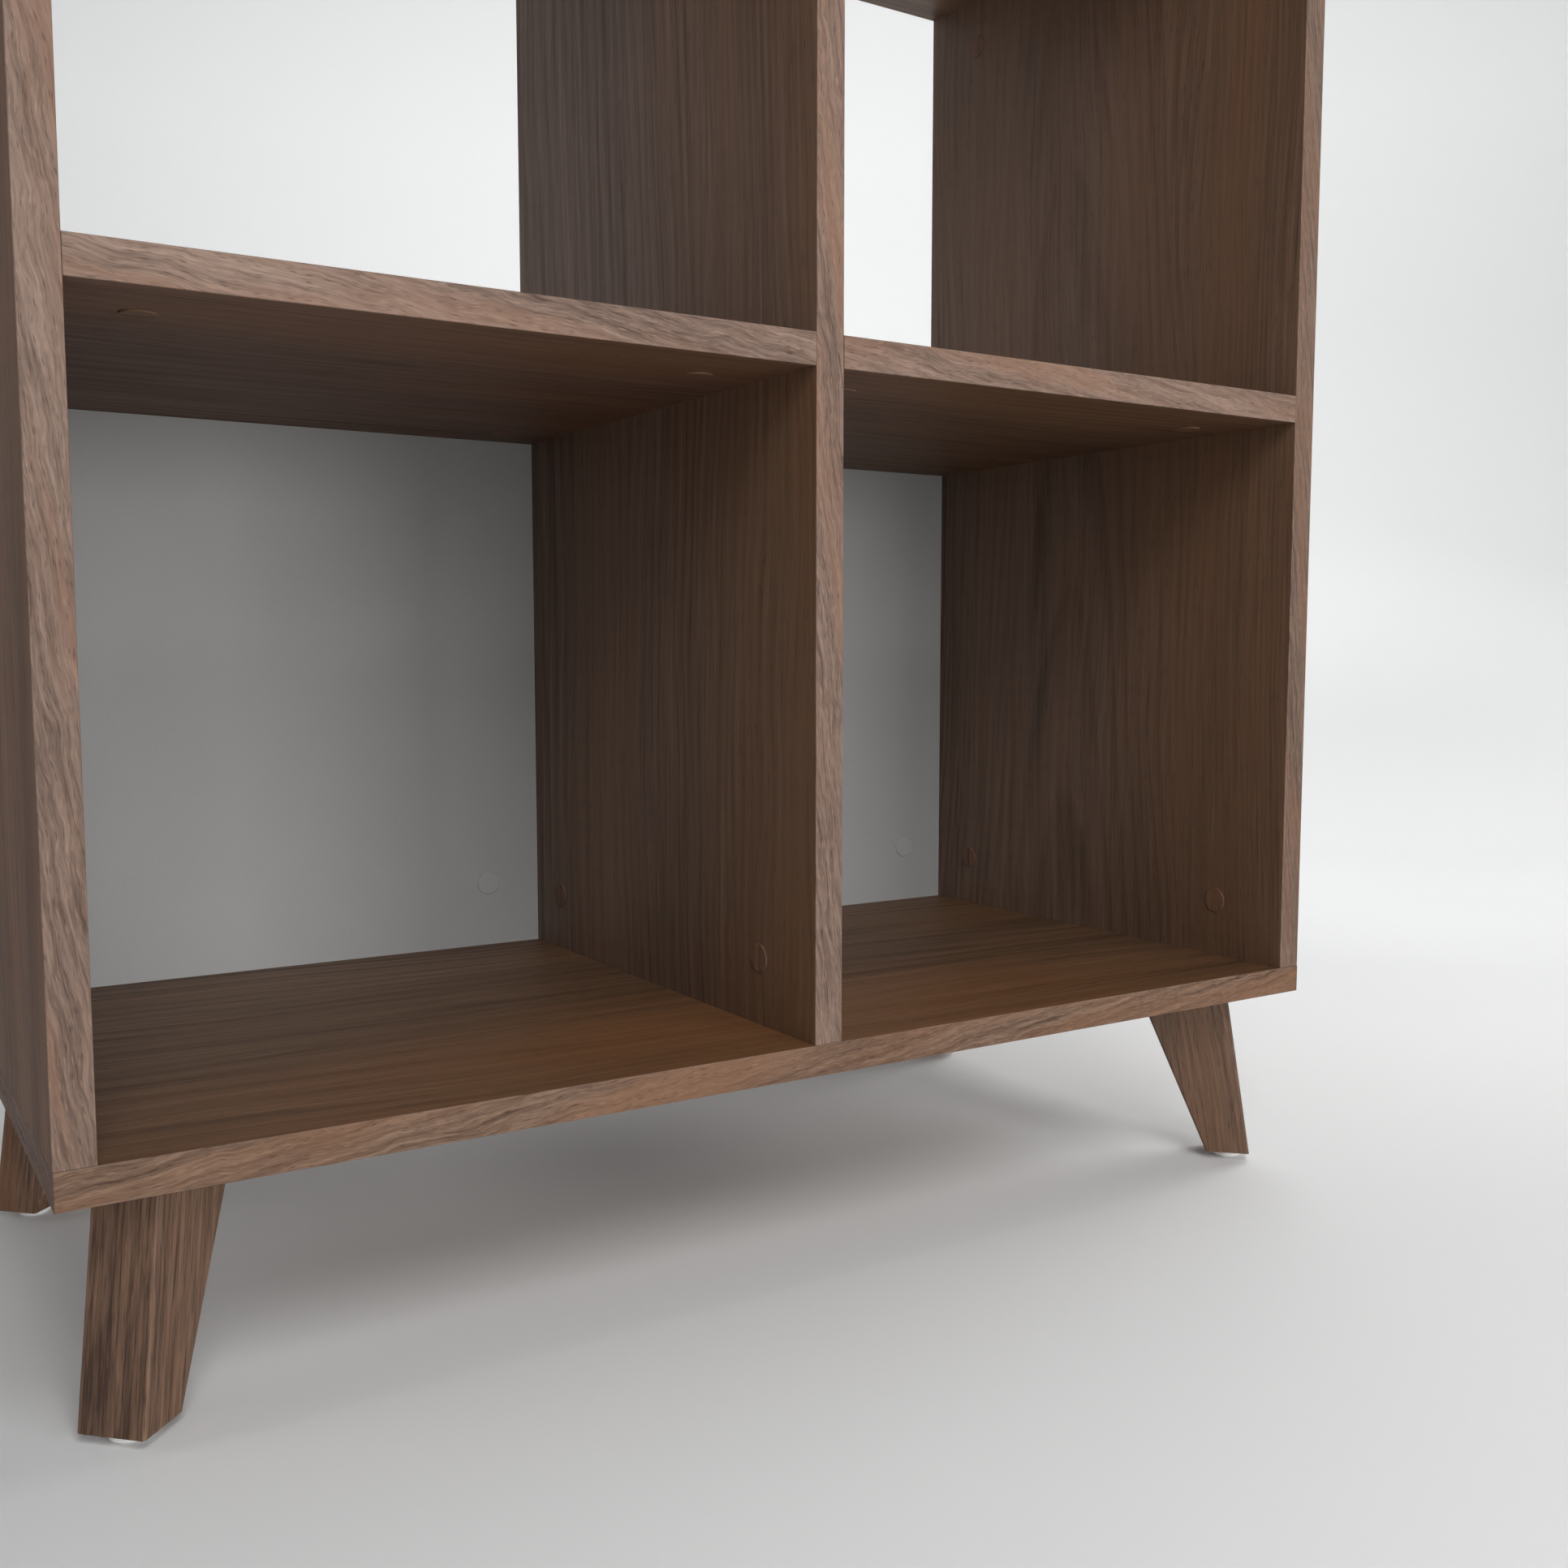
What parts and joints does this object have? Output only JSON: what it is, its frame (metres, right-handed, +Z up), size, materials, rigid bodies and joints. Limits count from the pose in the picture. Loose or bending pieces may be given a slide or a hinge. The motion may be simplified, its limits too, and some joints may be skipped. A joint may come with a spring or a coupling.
{
  "type": "cube storage unit",
  "caption": "Open-fronted cube shelf in dark walnut decor on splayed tapered legs, with grey back panels behind the lower cells.",
  "frame": {"origin": "on the floor under the middle of the unit", "axes": "+X to the right as seen from the open front, +Y to the rear, +Z up"},
  "size_m": [0.8, 0.4, 0.925],
  "materials": {
    "walnut_board": "satin dark walnut decor, grain along the width",
    "walnut_upright": "satin dark walnut decor, grain upright",
    "walnut_band": "satin walnut edge band, lighter than the faces",
    "walnut_band_upright": "satin walnut edge band, grain upright",
    "walnut_leg": "satin stained wood, grain upright",
    "grey_board": "matt light grey paint on board",
    "white_glide": "white moulded plastic",
    "brown_cap": "brown moulded plastic",
    "grey_cap": "grey moulded plastic",
    "plated_steel": "zinc plated",
    "zinc_casting": "die-cast, dull",
    "beech_dowel": "raw beech"
  },
  "bodies": {
    "root": {"bottom_board": "walnut_board", "top_board": "walnut_board", "left_side_panel": "walnut_upright", "right_side_panel": "walnut_upright", "centre_divider": "walnut_upright", "left_shelf": "walnut_board", "right_shelf": "walnut_board", "left_back_panel": "grey_board", "right_back_panel": "grey_board", "bottom_board_edge_bands": "walnut_band", "top_board_edge_bands": "walnut_band", "left_side_edge_bands": "walnut_band_upright", "centre_divider_edge_bands": "walnut_band_upright", "right_side_edge_bands": "walnut_band_upright", "left_shelf_edge_bands": "walnut_band", "right_shelf_edge_bands": "walnut_band", "cam_discs": "zinc_casting", "cam_bolts": "plated_steel", "through_cam_bolts": "plated_steel", "dowels": "beech_dowel", "through_dowels": "beech_dowel", "wood_cam_caps": "brown_cap", "grey_cam_caps": "grey_cap", "plate_screws": "plated_steel", "leg_screws": "plated_steel", "glide_nails": "plated_steel", "front_left_leg": "walnut_leg", "front_left_mounting_plate": "plated_steel", "front_left_glide": "white_glide", "front_right_leg": "walnut_leg", "front_right_mounting_plate": "plated_steel", "front_right_glide": "white_glide", "rear_right_leg": "walnut_leg", "rear_right_mounting_plate": "plated_steel", "rear_right_glide": "white_glide", "rear_left_leg": "walnut_leg", "rear_left_mounting_plate": "plated_steel", "rear_left_glide": "white_glide"}
  },
  "joints": []
}
